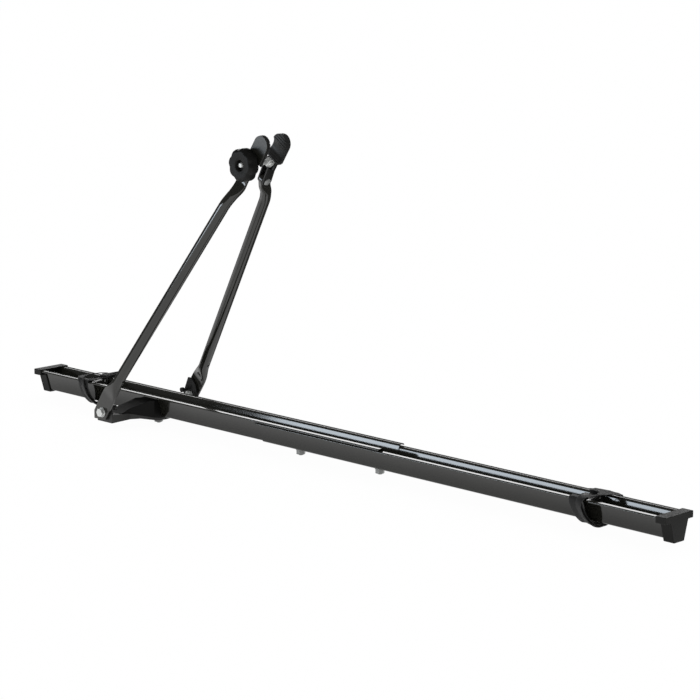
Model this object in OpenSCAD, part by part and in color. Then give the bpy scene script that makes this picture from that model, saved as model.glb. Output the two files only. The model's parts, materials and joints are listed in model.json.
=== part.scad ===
// Roof mounted bike carrier. A wheel channel in two nested lengths carries a
// cross bracket, a pair of arms that fold on it, and a frame clamp on the arms
// that an eye bolt and a knob close. X runs along the channel to the rear, Y
// to the far side and Z up. Z = 0 is the tip of the bracket bolt.

/* [Wheel channel] */
// Length over both end caps
overall_len = 1400; // [1250:10:1600]
// Width over the rolled rims
rim_w = 57.5; // [52:0.5:70]
// Width of each flat rim flange
flange_w = 9; // [7.5:0.5:11]
// Width of the channel floor, outside
floor_w = 20; // [16:0.5:24]
// Height of the rear channel
rear_h = 34.5; // [31:0.5:40]
// How far the front rims stand above the rear ones
rim_step = 3.9; // [3.5:0.1:8]
// Thickness of the channel sheet
sheet_t = 1.2; // [1:0.1:1.5]
// Depth of the hem turned down from each rim
hem_h = 2.6; // [2.2:0.1:3.4]
// Radius of the channel's bends, on the middle of the sheet
bend_r = 3.5; // [3:0.1:4.5]
// Gap between the two nested channels
nest_gap = 0.15; // [0.1:0.05:0.3]
// Where the front channel ends inside the rear one
front_rail_end = 147; // [140:1:200]
// Where the rear channel starts under the front one
rear_rail_start = -131; // [-180:1:-90]

/* [End caps] */
// Length of each cap along the channel
cap_len = 18.5; // [14:0.5:30]
// Thickness of the cap's end wall
cap_end_t = 3.5; // [2.5:0.5:5]
// Thickness of the cap's side walls
cap_wall = 2.2; // [1.6:0.1:3]
// Height of the cap's flange round the rims
cap_flange_h = 10; // [8:0.5:12]
// Depth of the cap below the channel floor
cap_drop = 3.5; // [2.5:0.5:5]

/* [Cross bracket] */
// Place of the bracket bolt along the channel
bracket_x = -400; // [-450:5:-300]
// How far the arm pivot lies in front of the bracket bolt
pivot_back = 25.8; // [22:0.1:32]
// Height of the arm pivot above the channel's underside
pivot_h = 16.3; // [14:0.1:19]
// Outer face of each ear, from the middle of the channel
ear_y = 96; // [85:1:120]
// Height of the ears' tops above the arm pivot
ear_rise = 30; // [26:1:34]
// Thickness of the ears and of the bracket's steel
plate_t = 2.5; // [2:0.1:3]
// Width of the saddle along the channel
saddle_w = 37; // [32:1:44]
// Height of the saddle's cheeks on the channel
saddle_h = 31; // [26:0.5:31.5]
// Thickness of the saddle's floor under the channel
saddle_floor = 2; // [1.5:0.1:3]
// How far the near stud lies behind the pivot and the far one in front of it
stud_side = [13.5, 11.2];
// Diameter of the headed studs
stud_d = 4.5; // [3:0.5:6]

/* [Arms] */
// Slope of the arms at rest, from the horizontal
arm_slope = 55.9; // [45:0.1:70]
// Distance from the arm pivot to the clamp bolt along the arm
arm_len = 519; // [450:1:600]
// Outside diameter of the arm tubes
tube_d = 18; // [16:0.5:20]
// Wall of the arm tubes
tube_t = 1.5; // [1.2:0.1:2]
// Thickness of the flattened tube ends
flat_t = 3.8; // [3.2:0.1:4.2]
// Width of the flattened lower ends
flat_w = 30.6; // [28:0.2:33]
// Distance of the kink below the clamp bolt along the arm
kink_back = 74.8; // [68:0.2:90]
// Middle of each tube at the kink, from the middle of the channel
kink_y = 42.8; // [38:0.2:48]

/* [Frame clamp] */
// Radius of the bike frame tube that the jaws take
grip_r = 20; // [16:0.5:21]
// Distance from the clamp bolt to the frame tube along the arm
grip_ahead = 27; // [26:0.5:31]
// Width of the jaw pads along the frame tube
pad_w = 32; // [30:1:40]
// Length of the jaw pads along the arm
pad_len = 46.5; // [42:0.5:54]
// Tip of the far pad, from the middle of the frame tube
pad_tip_y = 14; // [11:0.5:14.5]
// Tip of the near pad, which is thinner
near_tip_y = 19; // [15:0.5:19.5]
// Thinnest rubber behind the frame tube
pad_t = 2.5; // [2:0.1:4]
// Distance from the clamp bolt back to the jaw rivet along the arm
rivet_back = 36; // [33:0.5:42]
// Diameter of the jaw rivet
rivet_d = 8; // [6:0.5:8.5]
// Diameter of the clamp bolt
rod_d = 8; // [6:0.5:8.5]
// Diameter of the bolt's eye
eye_d = 17; // [15:0.5:17.5]
// Diameter of the pin through the eye
eye_pin_d = 6; // [4:0.5:7]
// Thickness of the bolt's eye and of the arm's tongue
tongue_t = 9; // [8.5:0.5:10]
// Thickness of the jaw lever's sheet
lever_t = 2.5; // [2:0.1:3]
// Diameter of the knob over its lobes
knob_d = 52; // [44:1:60]
// Thickness of the knob
knob_h = 21; // [18:0.5:26]
// Diameter of the recess in the knob's face
knob_recess_d = 14; // [12:0.5:18]
// Clear space round the clamp bolt in the near arm
rod_slack = 1.2; // [1.1:0.1:1.6]

/* [Fasteners] */
// Diameter of the bracket, rail and pivot bolts
bolt_d = 8; // [6:0.5:8]
// Height of their nuts
nut_h = 6.5; // [5:0.1:7]
// Thickness of their washers
washer_t = 1.6; // [1:0.1:2]
// Bolt end past the nut
bolt_tip = 1.8; // [1.5:0.1:3]
// Running clearance round pivots and pins
fit_gap = 0.08; // [0.05:0.01:0.1]
// Places of the two bolts that join the channels
rail_bolt_x = [-53, 123];
// Middle of the front and of the rear pair of roof bar holes
bar_hole_x = [-300, 360];
// Spacing of the two holes of a pair
bar_hole_pitch = 60; // [40:1:80]
// Radius of the roof bar holes
bar_hole_r = 3.25; // [2.5:0.05:4]

/* [Wheel straps] */
// Width of the webbing
strap_w = 25; // [20:1:30]
// Thickness of the doubled webbing
strap_t = 2.4; // [1.6:0.1:3]
// Distance of the front and of the rear strap's middle from its end of the channel
strap_inset = [136, 161];
// How far the strap hangs below the channel floor
strap_sag = 5.5; // [4:0.5:7]
// How far the strap and its buckle sink between the rims
strap_dip = 12; // [10:0.5:13]
// Reach of the front and of the rear loose end past the middle of its strap
tail_len = [28, 46];
// Where the front and the rear loose end start across the channel
tail_y = [8, 9.6];
// Least gap between a buckle's ends and the strap that rises beside it
buckle_gap = 0.2; // [0.1:0.1:1]
// Height of the buckle's cheeks
buckle_h = 8; // [7.5:0.5:10]
// Thickness of the buckle's metal
buckle_t = 1.5; // [1.2:0.1:2]
// Diameter of the buckle's pin
buckle_pin_d = 3; // [2:0.1:3.4]

/* [Hidden] */
$fn = 48;

// Middle of the front and of the rear strap along the channel
strap_x = [strap_inset[0] - overall_len / 2, overall_len / 2 - strap_inset[1]];

// Heights over the rear channel's underside, which lies deck above Z = 0
skin_z = -saddle_floor + sheet_t + nest_gap;
deck = plate_t - skin_z + washer_t + nut_h + bolt_tip;
front_floor_z = sheet_t + nest_gap;
front_top = rear_h + rim_step;
// Slope of the channel walls, outward for each millimetre up
wall_k = (rim_w / 2 - flange_w - floor_w / 2) / rear_h;
wall_stretch = sqrt(1 + wall_k * wall_k);
seat_gap = 0.2;

// Half width of a channel over its walls at height z; level 1 is the front one
function wall_y(z, level) =
    floor_w / 2 + wall_k * z - level * front_floor_z * wall_stretch;

function unit(v) = v / norm(v);
function left_of(v) = [-v[1], v[0]];

// Points of a round bend of radius r at corner b, between a and c
function bend(a, b, c, r, steps = 4) =
    let (u = unit(a - b), v = unit(c - b), half = acos(u * v) / 2,
         centre = b + unit(u + v) * r / sin(half),
         w0 = b + u * r / tan(half) - centre,
         w1 = b + v * r / tan(half) - centre,
         turn = 180 - 2 * half)
    [for (i = [0:steps])
        centre + (sin(turn * (1 - i / steps)) * w0 + sin(turn * i / steps) * w1) / sin(turn)];

// An open path with its inner corners rounded to the radii in r
function rounded(p, r) =
    concat([p[0]],
           [for (i = [1:len(p) - 2]) each bend(p[i - 1], p[i], p[i + 1], r[i - 1])],
           [p[len(p) - 1]]);

// A closed outline with every corner rounded
function rounded_loop(p, r) =
    let (n = len(p))
    [for (i = [0:n - 1]) each bend(p[(i + n - 1) % n], p[i], p[(i + 1) % n], r)];

// Offset of point i of an open path to its left by d, mitred
function beside(p, i, d) =
    let (n = len(p),
         before = left_of(unit(p[max(i, 1)] - p[max(i, 1) - 1])),
         after = left_of(unit(p[min(i + 1, n - 1)] - p[min(i, n - 2)])))
    p[i] + d * (before + after) / (1 + before * after);

// Outline of a sheet of thickness t bent along an open path
function sheet_outline(p, t) =
    concat([for (i = [0:len(p) - 1]) beside(p, i, t / 2)],
           [for (i = [len(p) - 1:-1:0]) beside(p, i, -t / 2)]);

function mirrored(half) =
    concat([for (i = [len(half) - 1:-1:0]) [-half[i][0], half[i][1]]], half);

// Extrudes an outline drawn across the channel, in Y and Z, along X
module along_x(x0, x1) {
    translate([x0, 0, deck])
        rotate([90, 0, 90])
            linear_extrude(x1 - x0)
                children();
}

// Extrudes an outline drawn on a vertical plane, in X and Z, from y0 to y1
module along_y(y0, y1) {
    translate([0, y1, deck])
        rotate([90, 0, 0])
            linear_extrude(y1 - y0)
                children();
}

module hex(across, h) {
    cylinder(d = across / cos(30), h = h, $fn = 6);
}

// Channels

function channel_path(level, top) =
    let (floor_z = sheet_t / 2 + level * front_floor_z,
         lip_z = top - sheet_t / 2,
         inset = sheet_t / 2 * wall_stretch,
         edge_y = rim_w / 2 - sheet_t / 2)
    mirrored([[wall_y(floor_z, level) - inset, floor_z],
              [wall_y(lip_z, level) - inset, lip_z],
              [edge_y, lip_z],
              [edge_y, top - hem_h]]);

module channel(x0, x1, level, top) {
    floor_r = bend_r - level * front_floor_z;
    along_x(x0, x1)
        polygon(sheet_outline(
            rounded(channel_path(level, top),
                    [sheet_t, bend_r, floor_r, floor_r, bend_r, sheet_t]), sheet_t));
}

module floor_hole(x, r) {
    translate([x, 0, 0])
        cylinder(r = r, h = deck + bend_r);
}

module bar_holes(x) {
    for (side = [-1, 1])
        floor_hole(x + side * bar_hole_pitch / 2, bar_hole_r);
}

bolt_hole_r = bolt_d / 2 + fit_gap;

module front_rail() {
    color("dimgray")
        difference() {
            channel(-overall_len / 2 + cap_end_t, front_rail_end, 1, front_top);
            floor_hole(bracket_x, bolt_hole_r);
            for (x = rail_bolt_x)
                floor_hole(x, bolt_hole_r);
            bar_holes(bar_hole_x[0]);
        }
}

module rear_rail() {
    color("dimgray")
        difference() {
            channel(rear_rail_start, overall_len / 2 - cap_end_t, 0, rear_h);
            for (x = rail_bolt_x)
                floor_hole(x, bolt_hole_r);
            bar_holes(bar_hole_x[1]);
        }
}

// End caps

// Outline of a filled channel, grown by g on every side
function cap_outline(level, top, grow_rim, grow_wall, flange, drop) =
    let (step_z = top + grow_rim - flange, low_z = level * front_floor_z - drop,
         rim_y = rim_w / 2 + grow_rim)
    mirrored([[wall_y(low_z, level) + grow_wall, low_z],
              [wall_y(step_z, level) + grow_wall, step_z],
              [rim_y, step_z],
              [rim_y, top + grow_rim]]);

module end_cap(level, top) {
    edge_r = 1;
    color("#161616")
        difference() {
            along_x(overall_len / 2 - cap_len, overall_len / 2)
                polygon(rounded_loop(
                    cap_outline(level, top, cap_wall - 0.4, cap_wall, cap_flange_h, cap_drop),
                    edge_r));
            along_x(overall_len / 2 - cap_len - 1, overall_len / 2 - cap_end_t)
                polygon(cap_outline(level, top, seat_gap, seat_gap,
                                    hem_h + 2 * seat_gap, seat_gap));
        }
}

module front_end_cap() {
    mirror([1, 0, 0])
        end_cap(1, front_top);
}

module rear_end_cap() {
    end_cap(0, rear_h);
}

// Cross bracket

pivot_x = bracket_x - pivot_back;
ear_front = pivot_x - 18.5;
ear_rear = pivot_x + 18.8;
beam_low = -0.8;
beam_top = 14;
beam_mid_low = skin_z - plate_t - 1.9;

// Underside and top of the beam from its middle out to an ear, in Y and Z
beam_under = [[0, beam_mid_low], [14, beam_mid_low + 0.6], [44, 1.1], [ear_y, beam_low]];
beam_over = [[0, skin_z], [14, skin_z], [62, 10.8], [ear_y - 17, 12], [ear_y, beam_top]];

// Plan of the bracket from its middle out to an ear, shrunk by s, in X and Y
function bracket_plan(s, mid_w) =
    let (front = [[bracket_x - mid_w / 2 + s, 0], [bracket_x - mid_w / 2 + s, 25],
                  [ear_front + 4 + s, 62], [ear_front + s, ear_y + 1]],
         rear = [[bracket_x + mid_w / 2 - s, 0], [bracket_x + mid_w / 2 - s, 25],
                 [ear_rear + 2 - s, 58], [ear_rear - s, ear_y + 1]])
    concat(front, [for (i = [len(rear) - 1:-1:0]) rear[i]]);

function reversed(p) = [for (i = [len(p) - 1:-1:0]) p[i]];

module both_sides() {
    children();
    mirror([0, 1, 0])
        children();
}

// One half of the beam between its plan and its elevation, lowered by d
module half_beam(s, d) {
    intersection() {
        translate([0, 0, -10])
            linear_extrude(deck + 60)
                polygon(bracket_plan(s, saddle_w));
        along_x(ear_front - 1, bracket_x + saddle_w)
            translate([0, -d])
                polygon(concat(beam_under, reversed(beam_over)));
    }
}

module ear() {
    along_y(ear_y - plate_t, ear_y)
        polygon([[ear_front, beam_low], [ear_rear, beam_low], [ear_rear, beam_top],
                 [ear_rear - 5, pivot_h + 0.6 * ear_rise],
                 [ear_rear - 16, pivot_h + ear_rise],
                 [ear_rear - 24, pivot_h + ear_rise], [ear_front + 4, pivot_h + 0.3 * ear_rise],
                 [ear_front, pivot_h - 2]]);
}

module crossbar() {
    color("#2b2b2a")
        difference() {
            union() {
                both_sides()
                    half_beam(0, 0);
                both_sides()
                    ear();
            }
            // The beam is pressed sheet, open below
            both_sides()
                intersection() {
                    half_beam(plate_t, plate_t);
                    translate([-overall_len, -1, -1])
                        cube([overall_len, ear_y - plate_t + 1, deck + beam_top]);
                }
            // Windows for the nuts of the arm pivots
            both_sides()
                translate([pivot_x - bolt_d - 1.5, ear_y - plate_t - nut_h - bolt_tip - 2, deck])
                    cube([2 * bolt_d + 3, nut_h + bolt_tip + 2, pivot_h]);
            floor_hole(bracket_x, bolt_hole_r);
            translate([pivot_x, ear_y + 1, deck + pivot_h])
                rotate([90, 0, 0])
                    cylinder(r = bolt_hole_r, h = 2 * ear_y + 2);
            stud_places()
                cylinder(d = stud_d, h = 2 * plate_t, center = true);
        }
}

module rail_saddle() {
    slope_top = [[62, 17], [rim_w / 2 + 14.25, 25.4], [rim_w / 2 + 2.85, saddle_h],
                 [rim_w / 2 - flange_w + 1, saddle_h]];
    low_z = front_floor_z - saddle_floor;
    color("#141414")
        difference() {
            both_sides()
                intersection() {
                    translate([0, 0, 1])
                        linear_extrude(deck + 60)
                            polygon(bracket_plan(1, saddle_w + 2));
                    along_x(ear_front - 1, bracket_x + saddle_w)
                        polygon(concat([[0, low_z], [14, low_z], [62, 10.8], [ear_y - 19, 12]],
                                       slope_top,
                                       [[wall_y(saddle_h, 1) + seat_gap, saddle_h],
                                        [wall_y(front_floor_z, 1) + seat_gap, front_floor_z],
                                        [0, front_floor_z]]));
                }
            floor_hole(bracket_x, bolt_hole_r);
        }
}

// Outer end of each stud in its ear: on the near ear behind the pivot, on the
// far ear in front of it
module stud_places() {
    for (i = [0, 1]) {
        side = 2 * i - 1;
        translate([pivot_x - side * stud_side[i], side * (ear_y - plate_t / 2),
                   deck + pivot_h + 8.2])
            rotate([side * 90, 0, 0])
                children();
    }
}

module ear_studs() {
    neck = 5.5;
    color("#1c1c1c")
        stud_places() {
            cylinder(d = stud_d, h = plate_t / 2 + neck);
            translate([0, 0, -plate_t / 2])
                cylinder(d = stud_d, h = plate_t);
            translate([0, 0, plate_t / 2 + neck])
                cylinder(d = stud_d + 4, h = 5);
        }
}

// Bolts, nuts and washers of the channel

head_h = bolt_d / 2;
head_z = front_floor_z + sheet_t;

// A round-headed bolt through the floor, its tip at height tip_z
module floor_bolt(x, tip_z) {
    translate([x, 0, deck]) {
        translate([0, 0, head_z])
            rotate_extrude()
                polygon([[0, 0], [bolt_d * 0.8, 0], [bolt_d * 0.76, head_h * 0.35],
                         [bolt_d * 0.6, head_h * 0.75], [bolt_d * 0.3, head_h], [0, head_h]]);
        translate([0, 0, tip_z + 1])
            cylinder(d = bolt_d, h = head_z - tip_z - 1);
        translate([0, 0, tip_z])
            cylinder(d1 = bolt_d - 2, d2 = bolt_d, h = 1);
    }
}

module washer(d, h) {
    difference() {
        cylinder(d = d, h = h);
        translate([0, 0, -1])
            cylinder(r = bolt_hole_r, h = h + 2);
    }
}

module nut() {
    difference() {
        hex(bolt_d * 1.6, nut_h);
        translate([0, 0, -1])
            cylinder(d = bolt_d, h = nut_h + 2);
    }
}

module bracket_bolt() {
    color("silver")
        floor_bolt(bracket_x, -deck);
}

module rail_bolts() {
    color("silver")
        for (x = rail_bolt_x)
            floor_bolt(x, -washer_t - nut_h - bolt_tip);
}

// The seat of each washer under the channel: the bracket's, then the rails'
washer_seats = concat([[bracket_x, skin_z - plate_t]], [for (x = rail_bolt_x) [x, 0]]);

module bolt_washers() {
    color("gainsboro")
        for (seat = washer_seats)
            translate([seat[0], 0, deck + seat[1] - washer_t])
                washer(2 * bolt_d, washer_t);
}

module bolt_nuts() {
    color("silver")
        for (seat = washer_seats)
            translate([seat[0], 0, deck + seat[1] - washer_t - nut_h])
                nut();
}

// Arm pivots

// From the ear outward: washer, flattened arm, washer and bolt head
arm_in_y = ear_y + washer_t - 0.5 + 0.1;
arm_out_y = arm_in_y + flat_t;
head_y = arm_out_y + 0.1 + washer_t;
hex_h = bolt_d * 0.66;

// Turns a child from its own Z to point outward along Y at a pivot
module at_pivots(y) {
    both_sides()
        translate([pivot_x, y, deck + pivot_h])
            rotate([-90, 0, 0])
                children();
}

module pivot_bolts() {
    color("silver")
        at_pivots(head_y) {
            hex(bolt_d * 1.6, hex_h);
            translate([0, 0, ear_y - plate_t - nut_h - bolt_tip - head_y])
                cylinder(d = bolt_d, h = head_y - ear_y + plate_t + nut_h + bolt_tip);
        }
}

module pivot_nuts() {
    color("silver")
        at_pivots(ear_y - plate_t - nut_h)
            nut();
}

module pivot_washers() {
    color("gainsboro")
        both_sides() {
            translate([pivot_x, ear_y, deck + pivot_h])
                rotate([-90, 0, 0])
                    washer(2 * bolt_d, washer_t - 0.5);
            translate([pivot_x, head_y - washer_t, deck + pivot_h])
                rotate([-90, 0, 0])
                    washer(2 * bolt_d, washer_t);
        }
}

// Arms. In the arm frame X runs up the arm from the pivot, Y across and Z off
// the arm's upper side.

axis_off = 2;
flat_off = 3;
rod_off = 6.2;
kink_a = arm_len - kink_back;
foot_a = 35.6;
foot_y = (arm_in_y + arm_out_y) / 2;
sleeve_a = 62;

module arm_frame() {
    translate([pivot_x, 0, deck + pivot_h])
        rotate([0, -arm_slope, 0])
            children();
}

// Middle of the straight tube at distance a up the arm
function tube_y(a) = foot_y - (a - foot_a) * (foot_y - kink_y) / (kink_a - foot_a);

// A round bar of diameter d between two points of the arm frame's X and Y
module bar(p, q, d) {
    run = q - p;
    translate([p[0], p[1], axis_off])
        rotate([0, 0, atan2(run[1], run[0])])
            rotate([0, 90, 0])
                cylinder(d = d, h = norm(run));
}

// The collar that starts a flattened part of the tube, at p on its run to q
module collar(p, q) {
    bar(p, p + unit(q - p) * 2, tube_d + 0.4);
}

// The short upper tube from the kink to just inside the collar at top
module upper_bar(top, d) {
    bar(kink, top + unit(top - kink) * 1.5, d);
}

// The bend at the kink, a touch fuller than the tubes of diameter d
module elbow(d) {
    translate([kink_a, kink_y, axis_off])
        sphere(d = d + 0.5);
}

// The flattened lower end, cut square to the channel in front and below
module flat_foot() {
    reach = flat_w;
    intersection() {
        arm_frame()
            translate([-reach, arm_in_y, flat_off - flat_w / 2])
                cube([reach + foot_a - 3, flat_t, flat_w]);
        translate([pivot_x - 21, 0, deck + pivot_h - 12.8])
            cube([4 * reach, 2 * ear_y, 4 * reach]);
    }
}

kink = [kink_a, kink_y];
tube_start = [sleeve_a, tube_y(sleeve_a)];

// The straight lower tube and its flattened foot, up to the kink at y >= 0
module lower_arm() {
    flat_foot();
    arm_frame() {
        hull() {
            translate([foot_a - 4, arm_in_y, flat_off - flat_w / 2])
                cube([1, flat_t, flat_w]);
            collar(tube_start, kink);
        }
        bar(tube_start, kink, tube_d);
        elbow(tube_d);
    }
}

// The hollow of the tube from its foot past the kink to point top
module tube_hollow(top) {
    arm_frame() {
        bar(tube_start, kink, tube_d - 2 * tube_t);
        elbow(tube_d - 2 * tube_t);
        bar(kink, top, tube_d - 2 * tube_t);
        // A drain hole near the foot
        translate([sleeve_a + 12, tube_y(sleeve_a + 12), axis_off - tube_d])
            cylinder(d = 4, h = tube_d);
    }
}

module pivot_bore() {
    translate([pivot_x, 2 * ear_y, deck + pivot_h])
        rotate([90, 0, 0])
            cylinder(r = bolt_hole_r, h = 2 * ear_y);
}

jaw_y = grip_r + pad_t;
spade_w = pad_w - 1;
head_off = 3;
grip_a = arm_len + grip_ahead;
pad_a0 = arm_len + 9.5;
pad_a1 = pad_a0 + pad_len;

// Outline of a jaw in the arm frame's X and Z: round at its top end
module jaw_outline(a0, w) {
    translate([a0, head_off - w / 2])
        square([pad_a1 - (pad_w - w) / 2 - w / 2 - a0, w]);
    translate([pad_a1 - pad_w / 2, head_off])
        circle(d = w);
}

// Turns an outline drawn in the arm frame's X and Z into a plate from y0 to y1
module plate_y(y0, y1) {
    translate([0, y1, 0])
        rotate([90, 0, 0])
            linear_extrude(y1 - y0)
                children();
}

module near_arm() {
    neck_w = 23;
    neck_a = arm_len - knob_d / 2 - 4.5;
    plate_start = [neck_a, jaw_y + flat_t / 2];
    top = kink + (plate_start - kink) * 0.35;
    color("#3a3a38")
        mirror([0, 1, 0])
            difference() {
                union() {
                    lower_arm();
                    arm_frame() {
                        upper_bar(top, tube_d);
                        hull() {
                            collar(top, plate_start);
                            translate([neck_a, jaw_y, rod_off - neck_w / 2])
                                cube([1, flat_t, neck_w]);
                        }
                        plate_y(jaw_y, jaw_y + flat_t) {
                            translate([neck_a, rod_off - neck_w / 2])
                                square([pad_a0 + 4 - neck_a, neck_w]);
                            jaw_outline(pad_a0, spade_w);
                        }
                    }
                }
                tube_hollow(top);
                pivot_bore();
                arm_frame()
                    translate([arm_len, jaw_y + 3 * flat_t, rod_off])
                        rotate([90, 0, 0])
                            cylinder(r = rod_d / 2 + rod_slack, h = 5 * flat_t);
            }
}

// Jaw lever. Its two cheeks hold the arm's tongue and the eye of the bolt.

cheek_gap = tongue_t + 0.4;
rivet_a = arm_len - rivet_back;
rivet_y = jaw_y + 2.5;
eye_y = jaw_y - 5.5;
tongue_r = rivet_d / 2 + 6;

// Two round ends joined by their outer tangents
module link(p, pr, q, qr) {
    run = q - p;
    lean = asin((pr - qr) / norm(run));
    heading = atan2(run[1], run[0]);
    function tip(c, r, side) =
        let (dir = heading + side * (90 - lean)) c + r * [cos(dir), sin(dir)];
    translate(p)
        circle(r = pr);
    translate(q)
        circle(r = qr);
    polygon([tip(p, pr, 1), tip(p, pr, -1), tip(q, qr, -1), tip(q, qr, 1)]);
}

// A plate square to the arm frame's Z, of thickness t about height z
module plate_z(z, t) {
    translate([0, 0, z - t / 2])
        linear_extrude(t)
            children();
}

module far_arm() {
    tongue_end = [rivet_a, rivet_y + 2];
    top = kink + (tongue_end - kink) * 0.38;
    root = kink + (tongue_end - kink) * 0.68;
    color("#3a3a38")
        difference() {
            union() {
                lower_arm();
                arm_frame() {
                    upper_bar(top, tube_d);
                    hull() {
                        collar(top, tongue_end);
                        plate_z(rod_off, tongue_t + 0.6)
                            translate(root)
                                circle(r = 0.9 * tongue_r, $fn = 32);
                    }
                    plate_z(rod_off, tongue_t)
                        link(root, 0.7 * tongue_r, [rivet_a, rivet_y], tongue_r);
                }
            }
            tube_hollow(top);
            pivot_bore();
            at_rivet()
                cylinder(d = rivet_d, h = 4 * tongue_t, center = true);
        }
}

module at_rivet() {
    arm_frame()
        translate([rivet_a, rivet_y, rod_off])
            children();
}

module at_eye() {
    arm_frame()
        translate([arm_len, eye_y, rod_off])
            children();
}

// Inner face of the lever's back, clear of the eye and of the tongue's end
back_y = max(eye_y + eye_d / 2, rivet_y + 1.5) + 1;
back_a = rivet_a + tongue_r + 2.5;

module jaw_lever() {
    cheek_z = cheek_gap / 2 + lever_t / 2;
    pin_r = eye_pin_d / 2 + 5;
    step_a = pad_a0 + lever_t + 1;
    color("#30302e")
        difference() {
            arm_frame() {
                difference() {
                    for (side = [-1, 1])
                        plate_z(rod_off + side * cheek_z, lever_t)
                            difference() {
                                union() {
                                    link([rivet_a, rivet_y], rivet_d / 2 + 5, [arm_len, eye_y + 2], pin_r);
                                    polygon([[rivet_a, rivet_y], [arm_len, eye_y],
                                             [step_a, jaw_y - 3], [step_a, back_y + lever_t],
                                             [back_a, back_y + lever_t]]);
                                }
                                // The lower cheek's notch, in front of the bolt's eye
                                if (side < 0)
                                    polygon([[back_a + 8.5, back_y - 2.5], [arm_len + 3, 0],
                                             [step_a + 1, 0], [step_a + 1, back_y - 2.5]]);
                            }
                    // Room for the pad
                    translate([pad_a0 - 0.3, jaw_y - pad_len, -pad_w])
                        cube([pad_len, pad_len, 2 * pad_w]);
                }
                // Back of the lever, the step to the pad's plate and that plate
                translate([back_a, back_y, rod_off - cheek_gap / 2 - lever_t])
                    cube([step_a - back_a, lever_t, cheek_gap + 2 * lever_t]);
                translate([step_a - lever_t, jaw_y, rod_off - cheek_gap / 2 - lever_t])
                    cube([lever_t, back_y + lever_t - jaw_y, cheek_gap + 2 * lever_t]);
                plate_y(jaw_y, jaw_y + lever_t)
                    jaw_outline(pad_a0 + 1, spade_w);
            }
            at_rivet()
                cylinder(d = rivet_d + 2 * fit_gap, h = 10 * lever_t, center = true);
            at_eye()
                cylinder(d = eye_pin_d, h = 10 * lever_t, center = true);
        }
}

module jaw_rivet() {
    span = cheek_gap + 2 * lever_t + 0.4;
    color("gray")
        at_rivet() {
            cylinder(d = rivet_d, h = span, center = true);
            for (side = [0, 180])
                rotate([side, 0, 0])
                    translate([0, 0, span / 2])
                        rotate_extrude()
                            polygon([[0, 0], [rivet_d * 0.8, 0], [rivet_d * 0.7, 1.4],
                                     [rivet_d * 0.4, 2.4], [0, 2.6]]);
        }
}

// A stud set in the upper cheek, with its head on the eye
module eye_pin() {
    color("gray")
        at_eye() {
            translate([0, 0, -cheek_gap / 2])
                cylinder(d = eye_pin_d, h = cheek_gap + lever_t);
            translate([0, 0, -cheek_gap / 2 - 1.8])
                cylinder(d1 = eye_pin_d + 1, d2 = eye_pin_d + 4, h = 1.8);
            translate([0, 0, cheek_gap / 2 + lever_t])
                cylinder(d1 = eye_pin_d + 2, d2 = eye_pin_d, h = 1.2);
        }
}

// Grooves cut across the face of a pad
module pad_grooves(tip_y) {
    pitch = 4.4;
    for (a = [pad_a0 + 2.5:pitch:pad_a1 - 2])
        translate([a, -1, head_off - pad_w])
            cube([1.2, tip_y + 2, 2 * pad_w]);
}

module jaw_pad(tip_y) {
    arm_frame()
        difference() {
            plate_y(tip_y, jaw_y)
                jaw_outline(pad_a0, pad_w);
            translate([grip_a, 0, head_off])
                cylinder(r = grip_r, h = 2 * pad_w, center = true, $fn = 96);
            pad_grooves(tip_y);
        }
}

module near_jaw_pad() {
    color("#181818")
        mirror([0, 1, 0])
            jaw_pad(near_tip_y);
}

module far_jaw_pad() {
    color("#181818")
        jaw_pad(pad_tip_y);
}

// Clamp bolt and knob

washer_y = jaw_y + flat_t + 0.2;
knob_y = washer_y + washer_t + 0.1;
recess_h = 6;
rod_end_y = knob_y + knob_h - 2.5;

// Turns a child from its own Z to point along -Y, on the clamp bolt, from y = -y0
module on_rod(y0) {
    arm_frame()
        translate([arm_len, -y0, rod_off])
            rotate([90, 0, 0])
                children();
}

module eye_bolt() {
    color("gainsboro")
        difference() {
            union() {
                at_eye()
                    cylinder(d = eye_d, h = tongue_t, center = true);
                on_rod(-eye_y + eye_d / 2 - 1.5)
                    cylinder(d = rod_d, h = rod_end_y + eye_y - eye_d / 2 + 1.5);
            }
            at_eye()
                cylinder(d = eye_pin_d + 2 * fit_gap, h = 4 * tongue_t, center = true);
        }
}

module knob_washer() {
    color("silver")
        on_rod(washer_y)
            difference() {
                cylinder(d = 2.4 * rod_d, h = washer_t);
                translate([0, 0, -1])
                    cylinder(d = rod_d + 2 * fit_gap, h = washer_t + 2);
            }
}

knob_nut_h = 7;

module clamp_knob() {
    lobes = 8;
    scallop_r = knob_d * 0.2;
    color("#1e1e1e")
        on_rod(knob_y)
            difference() {
                rotate_extrude()
                    polygon([[0, 0], [knob_d * 0.4, 0], [knob_d * 0.47, 2], [knob_d / 2, 5],
                             [knob_d / 2, knob_h - 6], [knob_d * 0.47, knob_h - 2],
                             [knob_d * 0.4, knob_h], [0, knob_h]]);
                for (i = [0:lobes - 1])
                    rotate([0, 0, (i + 0.5) * 360 / lobes])
                        translate([knob_d / 2 + scallop_r * 0.82, 0, -1])
                            cylinder(r = scallop_r, h = knob_h + 2);
                translate([0, 0, knob_h - recess_h])
                    cylinder(d = knob_recess_d, h = recess_h + 1);
                translate([0, 0, -1])
                    cylinder(d = rod_d + 1, h = knob_h);
                translate([0, 0, -1])
                    hex(rod_d * 1.7 + 0.2, knob_nut_h + 1);
            }
}

module knob_nut() {
    color("gray")
        on_rod(knob_y)
            difference() {
                hex(rod_d * 1.7, knob_nut_h);
                translate([0, 0, -1])
                    cylinder(d = rod_d + 2 * fit_gap, h = knob_nut_h + 2);
            }
}

// Wheel straps. Each goes round the channel and sinks between the rims with its buckle.

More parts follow.
